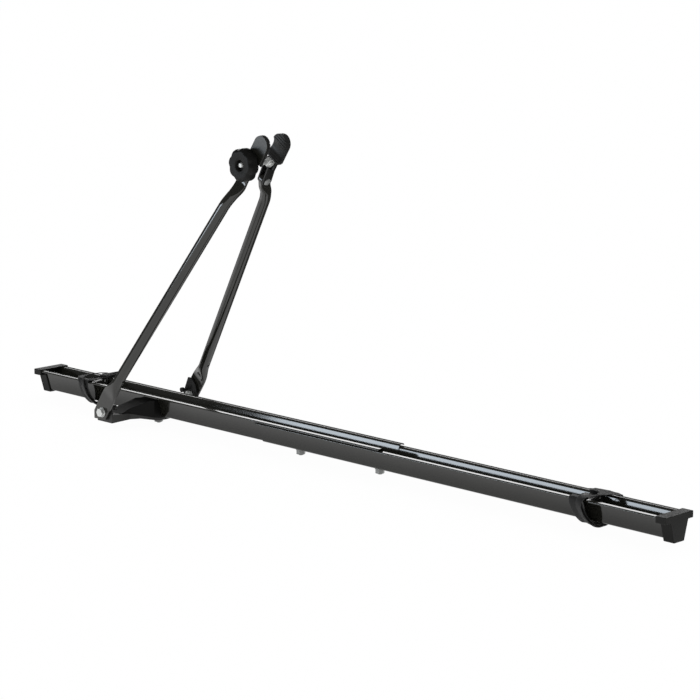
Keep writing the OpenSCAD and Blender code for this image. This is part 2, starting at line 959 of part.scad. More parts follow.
// Y at which the strap, grown by g, turns down between the rims
function strap_lip(level, top, g) =
    wall_y(top, level) - sheet_t * wall_stretch - 0.3 - 0.3 * g;

// Half of the loop's outline, grown by g, round a channel with its top at top
function strap_half(g, level, top) =
    let (low_z = level * front_floor_z - strap_sag, rim_y = rim_w / 2 + 0.6 + g,
         lip_y = strap_lip(level, top, g), lip_z = top + 0.6 + g)
    [[0, low_z - g], [floor_w / 2 + 1, low_z - g], [floor_w / 2 + 6 + g, low_z + 5],
     [rim_y, top - hem_h - 4], [rim_y, top + 0.2], [rim_y - 1.2, lip_z],
     [lip_y, lip_z], [lip_y - wall_k * strap_dip - 1, lip_z - strap_dip]];

module strap_loop(x, level, top) {
    color("#232323")
        difference() {
            along_x(x - strap_w / 2, x + strap_w / 2)
                polygon(mirrored(strap_half(strap_t, level, top)));
            along_x(x - strap_w, x + strap_w)
                polygon(mirrored(strap_half(0, level, top)));
        }
}

module front_strap() {
    strap_loop(strap_x[0], 1, front_top);
}

module rear_strap() {
    strap_loop(strap_x[1], 0, rear_h);
}

buckle_w = strap_w + 1 + 2 * buckle_t;
// Half of the flat that the strap leaves between the rims
strap_flat = strap_lip(1, front_top, strap_t) - wall_k * strap_dip - 1;
// Length of the buckle across the channel, in whole half millimetres
buckle_len = floor(4 * (strap_flat - buckle_gap)) / 2;
pin_y = -buckle_len / 2 + 6;
pin_z = buckle_t + 4.2;

function strap_top(top) = deck + top + 0.6 + strap_t;

// Puts a child on strap i between the rims, with the lever's tip on the near side
module on_strap(i, top) {
    translate([strap_x[i], 0, strap_top(top) - strap_dip + 0.1])
        rotate([0, 0, 180])
            children();
}

module buckle_body() {
    color("#3c3c3a")
        difference() {
            union() {
                translate([-buckle_w / 2, -buckle_len / 2, 0])
                    cube([buckle_w, buckle_len, buckle_t]);
                for (side = [-1, 1])
                    translate([side * (buckle_w - buckle_t) / 2 - buckle_t / 2, 0, 0])
                        rotate([90, 0, 90])
                            linear_extrude(buckle_t)
                                polygon([[-buckle_len / 2, 0], [buckle_len / 2, 0],
                                         [buckle_len / 2 - 4, buckle_t + 2.5],
                                         [pin_y + 6, buckle_h], [pin_y - 4, buckle_h],
                                         [-buckle_len / 2, buckle_t + 3]]);
            }
            translate([0, pin_y, pin_z])
                rotate([0, 90, 0])
                    cylinder(d = buckle_pin_d, h = 2 * buckle_w, center = true);
        }
}

module buckle_lever() {
    lever_w = strap_w - 0.4;
    color("#4a4a48")
        difference() {
            rotate([90, 0, 90])
                translate([0, 0, -lever_w / 2])
                    linear_extrude(lever_w) {
                        translate([pin_y, pin_z])
                            circle(r = buckle_pin_d / 2 + 1.6);
                        polygon([[pin_y, pin_z + 3], [pin_y + 2, pin_z - 0.5],
                                 [buckle_len / 2, buckle_t + 2.4],
                                 [buckle_len / 2 + 1, buckle_t + 4]]);
                    }
            translate([0, pin_y, pin_z])
                rotate([0, 90, 0])
                    cylinder(d = buckle_pin_d + 2 * fit_gap, h = 2 * buckle_w, center = true);
        }
}

module front_buckle() {
    on_strap(0, front_top)
        buckle_body();
}

module rear_buckle() {
    on_strap(1, rear_h)
        buckle_body();
}

module front_buckle_lever() {
    on_strap(0, front_top)
        buckle_lever();
}

module rear_buckle_lever() {
    on_strap(1, rear_h)
        buckle_lever();
}

module buckle_pins() {
    color("silver")
        for (i = [0, 1])
            on_strap(i, [front_top, rear_h][i])
                translate([0, pin_y, pin_z])
                    rotate([0, 90, 0])
                        cylinder(d = buckle_pin_d, h = buckle_w + 1, center = true);
}

// The loose end of strap i: out of the buckle, folded over and pointed
module strap_tail(i, top) {
    y0 = tail_y[i];
    y1 = y0 + strap_w - 1;
    color("#232323")
        translate([strap_x[i], 0, strap_top(top) + 0.1])
            linear_extrude(strap_t)
                polygon([[-strap_w / 2, y0], [tail_len[i] - 10, y0],
                         [tail_len[i], (y0 + y1) / 2], [tail_len[i] - 10, y1],
                         [6 - strap_w / 2, y1], [-strap_w / 2, y1 - 6]]);
}

module front_strap_tail() {
    strap_tail(0, front_top);
}

module rear_strap_tail() {
    strap_tail(1, rear_h);
}

front_rail();
rear_rail();
front_end_cap();
rear_end_cap();
crossbar();
rail_saddle();
ear_studs();
bracket_bolt();
rail_bolts();
bolt_washers();
bolt_nuts();
pivot_bolts();
pivot_nuts();
pivot_washers();
near_arm();
far_arm();
near_jaw_pad();
far_jaw_pad();
jaw_lever();
jaw_rivet();
eye_bolt();
eye_pin();
knob_washer();
clamp_knob();
knob_nut();
front_strap();
rear_strap();
front_strap_tail();
rear_strap_tail();
front_buckle();
rear_buckle();
front_buckle_lever();
rear_buckle_lever();
buckle_pins();
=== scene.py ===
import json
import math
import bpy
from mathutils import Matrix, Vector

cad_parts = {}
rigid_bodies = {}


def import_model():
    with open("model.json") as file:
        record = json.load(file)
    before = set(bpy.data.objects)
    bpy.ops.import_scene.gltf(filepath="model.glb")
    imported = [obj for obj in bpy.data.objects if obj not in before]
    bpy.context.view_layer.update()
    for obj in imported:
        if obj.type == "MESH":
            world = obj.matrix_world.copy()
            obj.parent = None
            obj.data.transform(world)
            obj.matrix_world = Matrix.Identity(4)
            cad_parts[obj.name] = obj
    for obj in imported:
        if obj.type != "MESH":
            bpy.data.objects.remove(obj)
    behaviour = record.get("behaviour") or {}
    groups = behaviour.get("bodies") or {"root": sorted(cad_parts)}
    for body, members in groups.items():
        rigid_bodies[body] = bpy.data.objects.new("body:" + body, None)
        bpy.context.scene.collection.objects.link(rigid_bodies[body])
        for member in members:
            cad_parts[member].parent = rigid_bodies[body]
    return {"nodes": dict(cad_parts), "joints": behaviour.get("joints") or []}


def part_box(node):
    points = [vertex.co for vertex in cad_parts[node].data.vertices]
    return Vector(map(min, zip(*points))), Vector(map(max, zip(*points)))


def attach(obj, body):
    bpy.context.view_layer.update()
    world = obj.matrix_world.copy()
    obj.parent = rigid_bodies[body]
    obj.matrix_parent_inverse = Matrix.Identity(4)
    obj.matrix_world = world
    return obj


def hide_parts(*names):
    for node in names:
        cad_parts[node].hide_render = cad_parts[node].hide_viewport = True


bl_info = {
    "name": "Roof Bike Carrier",
    "version": (1, 0, 0),
    "blender": (4, 5, 0),
    "location": "3D View > Sidebar > Carrier",
    "description": "Dresses a roof mounted bike carrier and sets it on a studio floor",
    "category": "Add Mesh",
}

import bmesh
import bpy
from mathutils import Matrix, Vector

for leftover in list(bpy.data.objects):
    bpy.data.objects.remove(leftover)

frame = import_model()
bpy.context.view_layer.update()

MM = 0.001
# Degrees that two faces may bend apart before their edge shows as sharp
CREASE = 38
JOINT = {joint["name"]: joint for joint in frame["joints"]}
PIVOT = Vector(JOINT["arm_fold"]["pos_m"])
ARM_UP = Vector(JOINT["jaw_open"]["axis"])
ARM_ALONG = Vector((0, 1, 0)).cross(ARM_UP)
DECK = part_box("rear_rail")[0].z


def on_arm(along, across, up):
    """A point given in millimetres from the arm pivot, up the arm, across it and off its upper side."""
    return PIVOT + (ARM_ALONG * along + Vector((0, across, 0)) + ARM_UP * up) * MM


# Sizes and colours


class StageSettings(bpy.types.PropertyGroup):
    eye: bpy.props.FloatVectorProperty(
        name="Camera", description="Place of the camera", subtype="XYZ", unit="LENGTH",
        default=(2.6925, -2.6285, 0.9307))
    aim: bpy.props.FloatVectorProperty(
        name="Aim", description="Point that the camera looks at", subtype="XYZ", unit="LENGTH",
        default=(0.0576, 0.0, 0.18905))
    lens: bpy.props.FloatProperty(
        name="Lens", description="Focal length of the camera", unit="CAMERA", default=126.26)
    floor_colour: bpy.props.FloatVectorProperty(
        name="Floor", description="Colour of the studio floor", subtype="COLOR",
        default=(0.98, 0.98, 0.98))
    floor_glow: bpy.props.FloatProperty(
        name="Floor Glow", description="Share of the floor's white that shadows don't reach",
        subtype="FACTOR", default=0.97)
    room_level: bpy.props.FloatProperty(
        name="Room Level", description="Plain light from all round", default=1.0)
    dark_level: bpy.props.FloatProperty(
        name="Dark Side", description="How bright the room's unlit side shows in gloss", default=0.1)
    strip_level: bpy.props.FloatProperty(
        name="Strip Lamp", description="Power of the low lamp before the carrier", default=11.5)
    rim_level: bpy.props.FloatProperty(
        name="Rim Lamp", description="Power of the wide lamp behind the carrier", default=44.0)


class CoatSettings(bpy.types.PropertyGroup):
    channel_colour: bpy.props.FloatVectorProperty(
        name="Channel", description="Gloss coat of the wheel channel", subtype="COLOR",
        default=(0.0108, 0.0108, 0.0088))
    arm_colour: bpy.props.FloatVectorProperty(
        name="Arms", description="Gloss coat of the arms", subtype="COLOR",
        default=(0.0108, 0.0108, 0.0088))
    bracket_colour: bpy.props.FloatVectorProperty(
        name="Bracket", description="Satin coat of the bracket and of the jaw lever", subtype="COLOR",
        default=(0.01, 0.01, 0.0095))
    moulded_colour: bpy.props.FloatVectorProperty(
        name="Mouldings", description="Plastic of the end caps, saddle and knob", subtype="COLOR",
        default=(0.006, 0.006, 0.0055))
    rubber_colour: bpy.props.FloatVectorProperty(
        name="Pads", description="Rubber of the jaw pads", subtype="COLOR", default=(0.009, 0.009, 0.009))
    zinc_colour: bpy.props.FloatVectorProperty(
        name="Zinc", description="Plating of the bolts and washers", subtype="COLOR",
        default=(0.74, 0.75, 0.73))
    webbing_colour: bpy.props.FloatVectorProperty(
        name="Webbing", description="Yarn of the wheel straps", subtype="COLOR",
        default=(0.01, 0.01, 0.01))


class EdgeSettings(bpy.types.PropertyGroup):
    channel: bpy.props.FloatProperty(
        name="Channel Edge", description="Rounding of the channel's sheet", unit="LENGTH", default=0.22 * MM)
    arm: bpy.props.FloatProperty(
        name="Arm Edge", description="Rounding of the arms' cut ends", unit="LENGTH", default=0.3 * MM)
    bracket: bpy.props.FloatProperty(
        name="Bracket Edge", description="Rounding of the pressed bracket", unit="LENGTH", default=0.5 * MM)
    stud: bpy.props.FloatProperty(
        name="Stud Edge", description="Rounding of the ear studs", unit="LENGTH", default=0.6 * MM)
    saddle: bpy.props.FloatProperty(
        name="Saddle Edge", description="Rounding of the moulded saddle", unit="LENGTH", default=0.8 * MM)
    cap: bpy.props.FloatProperty(
        name="Cap Edge", description="Rounding of the moulded end caps", unit="LENGTH", default=1.1 * MM)
    bolt: bpy.props.FloatProperty(
        name="Bolt Edge", description="Rounding of bolts, nuts and washers", unit="LENGTH", default=0.3 * MM)
    jaw: bpy.props.FloatProperty(
        name="Jaw Edge", description="Rounding of the pads and the lever", unit="LENGTH", default=0.4 * MM)
    buckle: bpy.props.FloatProperty(
        name="Buckle Edge", description="Rounding of the buckles", unit="LENGTH", default=0.35 * MM)


class ArmSettings(bpy.types.PropertyGroup):
    tube: bpy.props.FloatProperty(
        name="Tube", description="Outside diameter of the arm tubes", unit="LENGTH", default=18 * MM)
    flat: bpy.props.FloatProperty(
        name="Flat", description="Thickness of the pressed ends", unit="LENGTH", default=3.8 * MM)
    foot_width: bpy.props.FloatProperty(
        name="Foot", description="Width of the pressed lower ends", unit="LENGTH", default=30.6 * MM)
    sides: bpy.props.IntProperty(
        name="Sides", description="Points round each tube", default=56)


class KnobSettings(bpy.types.PropertyGroup):
    diameter: bpy.props.FloatProperty(
        name="Knob", description="Diameter over the lobes", unit="LENGTH", default=54.4 * MM)
    lobes: bpy.props.IntProperty(name="Lobes", description="Number of lobes", default=8)
    scallop: bpy.props.FloatProperty(
        name="Scallop", description="Depth of the hollows between the lobes", unit="LENGTH",
        default=2.2 * MM)
    thread_pitch: bpy.props.FloatProperty(
        name="Pitch", description="Pitch of the clamp bolt's thread", unit="LENGTH", default=1.25 * MM)


class StrapSettings(bpy.types.PropertyGroup):
    width: bpy.props.FloatProperty(
        name="Webbing Width", description="Width of the webbing", unit="LENGTH", default=25 * MM)
    thickness: bpy.props.FloatProperty(
        name="Webbing Thickness", description="Thickness of one layer", unit="LENGTH", default=1.3 * MM)
    rib: bpy.props.FloatProperty(
        name="Weave", description="Spacing of the weave's ribs", unit="LENGTH", default=1.7 * MM)


# Shader expressions


class Signal:
    """One socket of a finish. Sums, differences and products of signals add Math nodes."""

    def __init__(self, finish, socket):
        self.finish, self.socket = finish, socket

    def math(self, operation, *values):
        return self.finish.node("Math", {"operation": operation}, values)

    def __add__(self, other):
        return self.math("ADD", self, other)

    def __radd__(self, other):
        return self.math("ADD", other, self)

    def __sub__(self, other):
        return self.math("SUBTRACT", self, other)

    def __rsub__(self, other):
        return self.math("SUBTRACT", other, self)

    def __mul__(self, other):
        return self.math("MULTIPLY", self, other)

    def __rmul__(self, other):
        return self.math("MULTIPLY", other, self)

    def __abs__(self):
        return self.math("ABSOLUTE", self)

    def sine(self):
        return self.math("SINE", self)

    def most(self, other):
        return self.math("MAXIMUM", self, other)

    def rise(self, low, high):
        """0 below low, 1 above high and a soft slope between."""
        return self.finish.node(
            "MapRange", {"interpolation_type": "SMOOTHSTEP"}, (self, low, high, 0.0, 1.0))


class Finish:
    """A node tree that is written as expressions."""

    def __init__(self, owner):
        owner.use_nodes = True
        self.owner, self.tree = owner, owner.node_tree
        self.tree.nodes.clear()

    def node(self, kind, settings=None, sockets=(), output=0):
        """Adds a shader node: its settings first, then values or signals for its sockets."""
        node = self.tree.nodes.new("ShaderNode" + kind)
        for key, value in (settings or {}).items():
            setattr(node, key, value)
        for key, value in sockets.items() if isinstance(sockets, dict) else enumerate(sockets):
            if isinstance(value, Signal):
                self.tree.links.new(value.socket, node.inputs[key])
            elif value is not None:
                node.inputs[key].default_value = value
        return Signal(self, node.outputs[output]) if len(node.outputs) else None

    def place(self):
        return self.node("TexCoord", output="Object")

    def parts(self, vector):
        """The X, Y and Z of a vector."""
        split = self.node("SeparateXYZ", sockets=(vector,))
        return [Signal(self, socket) for socket in split.socket.node.outputs]

    def stretched(self, vector, scale):
        return self.node("VectorMath", {"operation": "MULTIPLY"}, (vector, scale))

    def noise(self, scale, detail=3.0, rough=0.5, vector=None):
        return self.node("TexNoise", None, {
            "Vector": vector or self.place(), "Scale": scale, "Detail": detail, "Roughness": rough})

    def mixed(self, factor, first, second):
        """A colour between two others."""
        return self.node("Mix", {"data_type": "RGBA"}, {0: factor, 6: first, 7: second}, 2)

    def worn_edge(self, low, high):
        """Sharp edges, where a coat wears thin."""
        return self.node("NewGeometry", output="Pointiness").rise(low, high)

    def mottled(self, cloud, low, high, colour, dark, pale):
        """A colour that drifts between a darker and a paler share of itself."""
        return self.mixed(cloud.rise(low, high), shade(colour, dark), shade(colour, pale))

    def bump(self, height, distance, strength=1.0, normal=None):
        return self.node("Bump", None, {
            "Height": height, "Distance": distance, "Strength": strength, "Normal": normal})

    def surface(self, **sockets):
        """Ends the tree in a Principled surface."""
        named = {key.replace("_", " "): value for key, value in sockets.items()}
        shader = self.node("BsdfPrincipled", None, named)
        self.node("OutputMaterial", None, {"Surface": shader})
        return self.owner


def toned(colour, amount):
    """A colour brightened by amount."""
    return tuple(channel * amount for channel in colour)


def shade(colour, amount):
    """A colour brightened by amount, with alpha."""
    return toned(colour, amount) + (1.0,)


def finish(name):
    return Finish(bpy.data.materials.new(name))


def gloss_coat(name, colour, rough, form=None, handled=None):
    """Black gloss powder coat: a faint orange peel, soft handling marks and thinner colour on edges.

    It is rubbed duller above the height called handled, where hands work the clamp.
    """
    f = finish(name)
    rolled = form(f) if form else None
    cloud = f.noise(9.0, detail=4.0)
    streak = f.noise(40.0, rough=0.6, vector=f.stretched(f.place(), (0.05, 1.0, 1.0)))
    edge = f.worn_edge(0.53, 0.62)
    marks = streak.rise(0.56, 0.8)
    peel = f.noise(520.0, detail=2.0)
    body = f.mottled(cloud, 0.35, 0.7, colour, dark=0.88, pale=1.14)
    roughness = rough + cloud * 0.02 + marks * 0.05 + edge * 0.08
    if handled:
        fade = 20 * MM
        roughness += f.parts(f.place())[2].rise(handled - fade, handled) * 0.2
    return f.surface(
        Base_Color=f.mixed(edge * 0.35, body, shade(colour, 2.2)), Roughness=roughness,
        Normal=f.bump(peel, 0.05 * MM, 0.2, rolled), IOR=1.6)


def rolled_form(f):
    """Rims that droop outwards a little and walls that are a trace hollow, as rolled sheet comes."""
    droop, hollow, brim = 0.055, 1.3, DECK + 38 * MM
    y, z = f.parts(f.place())[1:]
    fall = z - brim
    return f.bump(abs(y) * -droop - fall * fall * hollow, 1.0)


def satin_coat(name, colour):
    """Black satin coat on pressed steel, a little rough and paler on worn edges."""
    f = finish(name)
    cloud = f.noise(22.0, detail=4.0)
    edge = f.worn_edge(0.52, 0.6)
    speck = f.noise(900.0, detail=2.0)
    body = f.mottled(cloud, 0.3, 0.75, colour, dark=0.8, pale=1.2)
    return f.surface(
        Base_Color=f.mixed(edge * 0.5, body, shade(colour, 3.0)),
        Roughness=0.26 + cloud * 0.1 + edge * 0.1,
        Normal=f.bump(speck, 0.08 * MM, 0.5), IOR=1.4)


def moulded(name, colour, rough, grain):
    """Moulded black plastic with a fine spark grain."""
    f = finish(name)
    cloud = f.noise(30.0)
    cells = f.node("TexVoronoi", None, {"Vector": f.place(), "Scale": grain})
    fine = f.noise(grain * 1.7, detail=2.0)
    edge = f.worn_edge(0.52, 0.62)
    body = f.mottled(cloud, 0.35, 0.7, colour, dark=0.85, pale=1.2)
    return f.surface(
        Base_Color=f.mixed(edge * 0.4 + fine.rise(0.62, 0.8) * 0.25, body, shade(colour, 2.4)),
        Roughness=rough + cloud * 0.08 - edge * 0.1,
        Normal=f.bump(cells * 0.6 + fine, 0.16 * MM, 0.6), Specular_IOR_Level=0.15)


def pad_rubber(name, colour):
    """Soft black rubber with a dry bloom on its ridges."""
    f = finish(name)
    cloud = f.noise(60.0, detail=4.0)
    fine = f.noise(1100.0, detail=2.0)
    edge = f.worn_edge(0.51, 0.58)
    body = f.mottled(cloud, 0.35, 0.7, colour, dark=0.8, pale=1.3)
    return f.surface(
        Base_Color=f.mixed(edge * 0.6, body, shade(colour, 3.4)),
        Roughness=0.4 + cloud * 0.14 - edge * 0.08,
        Normal=f.bump(fine, 0.12 * MM, 0.6), Specular_IOR_Level=0.3)


def zinc_plate(name, colour, rough=0.24):
    """Bright zinc plate with a faint crystal pattern and duller patches."""
    f = finish(name)
    cloud = f.noise(70.0, detail=4.0)
    crystal = f.node("TexVoronoi", None, {"Vector": f.place(), "Scale": 700.0}, "Color")
    grain = f.parts(crystal)[0]
    dust = f.noise(1500.0, detail=2.0)
    red, green, blue = colour
    body = f.mottled(cloud, 0.3, 0.7, colour, dark=0.86, pale=1.05)
    return f.surface(
        Base_Color=f.mixed(grain * 0.2, body, (red * 0.8, green * 0.84, blue * 0.9, 1.0)),
        Metallic=0.65, Roughness=rough + cloud * 0.12 + grain * 0.05,
        Normal=f.bump(dust, 0.02 * MM, 0.4))


def woven(name, colour, rib):
    """Nylon webbing: ribs along the strap, crossed by the weft, with paler selvedges and lint; painted shade
    darkens the weave's hollows and a painted highlight pales its ridges.
    """
    f = finish(name)
    along, across, side = f.parts(f.node("Attribute", {"attribute_name": "weave"}, output="Vector"))
    turn = 2 * math.pi / rib
    warp = (across * (turn * 1.1) + (along * turn).sine() * 0.8).sine()
    weft = (along * turn + (across * turn * 0.5).sine() * 0.6).sine()
    fuzz = f.noise(2400.0, detail=2.0)
    height = warp * 0.5 + weft * 0.35 + fuzz * 0.5
    lint = f.noise(420.0, detail=5.0, rough=0.7).rise(0.6, 0.85)
    selvedge = side.rise(0.86, 0.97)
    # Painted shade and highlight: the colour darkens in the weave's hollows and pales on its ridges,
    # following the bump's height
    body = f.mottled(height, -0.4, 1.1, colour, dark=0.55, pale=1.5)
    return f.surface(
        Base_Color=f.mixed((selvedge * 0.55).most(lint * 0.35), body, shade(colour, 4.5)),
        Roughness=0.55 + height * 0.08, Specular_IOR_Level=0.25, Sheen_Weight=0.1,
        Sheen_Roughness=0.4, Normal=f.bump(height, 0.35 * MM, 0.7))


# Meshes


def around(count):
    """The angles of count even steps round a circle."""
    return [2 * math.pi * k / count for k in range(count)]


def rounded_section(half_across, half_up, power, count):
    """Points of a superellipse: a circle at power 2 and nearly a rectangle at power 8."""
    section = []
    for turn in around(count):
        c, s = math.cos(turn), math.sin(turn)
        section.append((math.copysign(abs(c) ** (2 / power), c) * half_across,
                        math.copysign(abs(s) ** (2 / power), s) * half_up))
    return section


def skin(mesh, rows, closed=False):
    """Joins rows of vertices with faces, and closes the ends unless the rows meet."""
    count = len(rows[0])
    for low, high in zip(rows, rows[1:] + rows[:1] if closed else rows[1:]):
        for k in range(count):
            mesh.faces.new((low[k], low[(k + 1) % count], high[(k + 1) % count], high[k]))
    if not closed:
        mesh.faces.new(rows[0])
        mesh.faces.new(rows[-1])


def loft(mesh, rings, closed=False):
    """Skins rings of points."""
    skin(mesh, [[mesh.verts.new(point) for point in ring] for ring in rings], closed)




def cut_by(mesh, point, normal):
    """Cuts a closed mesh with a plane, drops what lies on its normal's side and closes the cut."""
    geometry = mesh.verts[:] + mesh.edges[:] + mesh.faces[:]
    cut = bmesh.ops.bisect_plane(mesh, geom=geometry, plane_co=point, plane_no=normal, clear_outer=True)
    edges = [item for item in cut["geom_cut"] if isinstance(item, bmesh.types.BMEdge)]
    bmesh.ops.contextual_create(mesh, geom=edges)


def put_piece(name, mesh, surface, body, replaced=(), crease=CREASE):
    """Turns a bmesh into a piece that rides on a body and stands for CAD nodes."""
    bmesh.ops.recalc_face_normals(mesh, faces=mesh.faces)
    data = bpy.data.meshes.new(name)
    mesh.to_mesh(data)
    mesh.free()
    data.materials.append(surface)
    data.shade_smooth()
    data.set_sharp_from_angle(angle=math.radians(crease))
    piece = bpy.data.objects.new(name, data)
    bpy.context.scene.collection.objects.link(piece)
    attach(piece, body)
    if replaced:
        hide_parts(*replaced)
    return piece


def soften(piece, radius, steps=2, angle=32):
    """Rounds a piece's sharp edges and evens its shading."""
    bevel = piece.modifiers.new("Edges", "BEVEL")
    bevel.width, bevel.segments = radius, steps
    bevel.limit_method, bevel.angle_limit = "ANGLE", math.radians(angle)
    bevel.use_clamp_overlap = True
    even = piece.modifiers.new("Shading", "WEIGHTED_NORMAL")
    even.weight, even.keep_sharp = 80, False


def dress(node, surface, radius, steps=2, angle=32):
    """Gives a CAD node its finish and rounds its edges, with its own shape kept."""
    piece = frame["nodes"][node]
    piece.data.materials[0] = surface
    piece.data.shade_smooth()
    weld = piece.modifiers.new("Seams", "WELD")
    weld.merge_threshold = 0.004 * MM
    flats = piece.modifiers.new("Flats", "DECIMATE")
    flats.decimate_type, flats.angle_limit = "DISSOLVE", math.radians(0.4)
    soften(piece, radius, steps, angle)


def carve(piece, cutter_mesh):
    """Subtracts a closed mesh from a piece and keeps the result as the piece's mesh."""
    data = bpy.data.meshes.new("cutter")
    bmesh.ops.recalc_face_normals(cutter_mesh, faces=cutter_mesh.faces)
    cutter_mesh.to_mesh(data)
    cutter_mesh.free()
    cutter = bpy.data.objects.new("cutter", data)
    bpy.context.scene.collection.objects.link(cutter)
    cut = piece.modifiers.new("Cut", "BOOLEAN")
    cut.object, cut.operation, cut.solver = cutter, "DIFFERENCE", "EXACT"
    shapes = bpy.context.evaluated_depsgraph_get()
    carved = bpy.data.meshes.new_from_object(piece.evaluated_get(shapes))
    piece.modifiers.clear()
    carved.name = piece.name
    carved.shade_smooth()
    carved.set_sharp_from_angle(angle=math.radians(CREASE))
    piece.data = carved
    bpy.data.objects.remove(cutter)


def rod_mesh(start, end, radius, count=32):
    """A plain closed cylinder between two points."""
    mesh = bmesh.new()
    along = (end - start).normalized()
    side = along.orthogonal().normalized()
    other = along.cross(side)
    section = rounded_section(radius, radius, 2, count)
    loft(mesh, [[p + side * x + other * z for x, z in section] for p in (start, end)])
    return mesh


# Arms


def blended(low, high, share):
    return low + (high - low) * share


def held(share):
    """A share kept between 0 and 1."""
    return min(1.0, max(0.0, share))


def eased(share):
    """A share that starts and ends gently."""
    share = held(share)
    return share * share * (3 - 2 * share)


def shares(count):
    """Even shares from 0 to 1."""
    return [i / (count - 1) for i in range(count)]


# Millimetres: how far up an arm and how far across each point lies
KINK = (444.2, 42.8)
FOOT_Y = 99.1
FOOT_END = 35.6
PLATE_Y = 24.4
BOLT_AT = 519
# Millimetres off the pivot's line, to the arm's upper side
FOOT_UP, TUBE_UP, HEAD_UP = 3.0, 2.0, 6.2
# Power of a section: round tube and pressed flat
ROUND, FLAT = 2.0, 12.0
LOWER_SLOPE = (KINK[1] - FOOT_Y) / (KINK[0] - FOOT_END)


def lower_y(along):
    """How far across the straight run of a lower arm lies."""
    return FOOT_Y + (along - FOOT_END) * LOWER_SLOPE


def lower_arm(size):
    """Stations up the lower arm: along, across, up, heading, half thickness, half width and power."""
    flat, foot, tube = size.flat / MM / 2, size.foot_width / MM / 2, size.tube / MM / 2
    heading = math.atan(LOWER_SLOPE)
    stations = [(a, FOOT_Y, FOOT_UP, 0.0, flat, foot, FLAT) for a in (-36, -12, 8, 22, 30)]
    for share in shares(15):
        a = blended(31, 66, share)
        ease = eased(share)
        stations.append((
            a, blended(FOOT_Y, lower_y(a), eased(share * 1.15)),
            blended(FOOT_UP, TUBE_UP, ease), heading * eased(share * 1.3),
            blended(flat, tube, eased(share * 1.05)), blended(foot, tube, eased(share * 0.98)),
            blended(ROUND, FLAT, (1 - share) ** 2.2)))
    stations += [(a, lower_y(a), TUBE_UP, heading, tube, tube, ROUND) for a in (90, 170, 260, 350, 420)]
    return stations


def kink(upper_slope, tube):
    """Stations round the bend between the two straight runs of an arm."""
    low, high, reach = math.atan(LOWER_SLOPE), math.atan(upper_slope), 6.0
    stations = []
    start = (KINK[0] - reach, KINK[1] - reach * LOWER_SLOPE)
    end = (KINK[0] + reach, KINK[1] + reach * upper_slope)
    for t in shares(9):
        point = [a * (1 - t) ** 2 + 2 * b * t * (1 - t) + c * t * t for a, b, c in zip(start, KINK, end)]
        stations.append((*point, TUBE_UP, blended(low, high, t), tube, tube, ROUND))
    return stations


def near_head(size):
    """Stations from the kink to the round end of the near jaw plate."""
    flat, tube = size.flat / MM / 2, size.tube / MM / 2
    neck, plate, plate_up = 11.5, 15.5, 3.0
    slope = (PLATE_Y - KINK[1]) / (488.5 - KINK[0])
    stations = kink(slope, tube)
    for share in shares(13):
        a = blended(459, 490, share)
        ease = eased(share)
        stations.append((
            a, blended(KINK[1] + (a - KINK[0]) * slope, PLATE_Y, eased(share * 1.1)),
            blended(TUBE_UP, HEAD_UP, ease), math.atan(slope) * (1 - eased(share * 1.2)),
            blended(tube, flat, eased(share * 1.08)), blended(tube, neck, ease),
            blended(ROUND, FLAT, share ** 2.2)))
    stations += [(a, PLATE_Y, HEAD_UP, 0.0, flat, neck, FLAT) for a in (500, 512, 524)]
    for share in shares(7):
        ease = eased(share)
        stations.append((blended(526, 532, share), PLATE_Y, blended(HEAD_UP, plate_up, ease), 0.0,
                         flat, blended(neck, plate, ease), FLAT))
    stations.append((545, PLATE_Y, plate_up, 0.0, flat, plate, FLAT))
    for share in shares(11):
        turn = math.radians(84 * share)
        stations.append((559 + plate * math.sin(turn), PLATE_Y, plate_up, 0.0,
                         flat, plate * math.cos(turn), FLAT))
    return stations


def far_head(size):
    """Stations from the kink to the round tongue that the jaw lever turns on."""
    tube = size.tube / MM / 2
    rivet_at, rivet_y, tongue, half_tongue = 483, 25, 10.0, 4.5
    slope = (27.0 - KINK[1]) / (rivet_at - KINK[0])
    heading = math.atan(slope)
    stations = kink(slope, tube)
    for share in shares(11):
        a = blended(457, 473, share)
        ease = eased(share)
        stations.append((
            a, KINK[1] + (a - KINK[0]) * slope - 1.2 * ease, blended(TUBE_UP, HEAD_UP, ease), heading,
            blended(tube, 9.3, ease), blended(tube, half_tongue, ease), 2 + 8 * share ** 2))
    for share in shares(11)[1:]:
        turn = math.radians(blended(-30, 84, share))
        reach = tongue * math.sin(turn)
        stations.append((
            rivet_at + reach * math.cos(heading), rivet_y + reach * math.sin(heading), HEAD_UP, heading,
            tongue * math.cos(turn), half_tongue, 10.0))
    return stations


def arm_rings(stations, side, count):
    rings = []
    for along, across, up, heading, half_across, half_up, power in stations:
        c, s = math.cos(heading), math.sin(heading)
        rings.append([on_arm(along - s * x, side * (across + c * x), up + z)
                      for x, z in rounded_section(half_across, half_up, power, count)])
    return rings


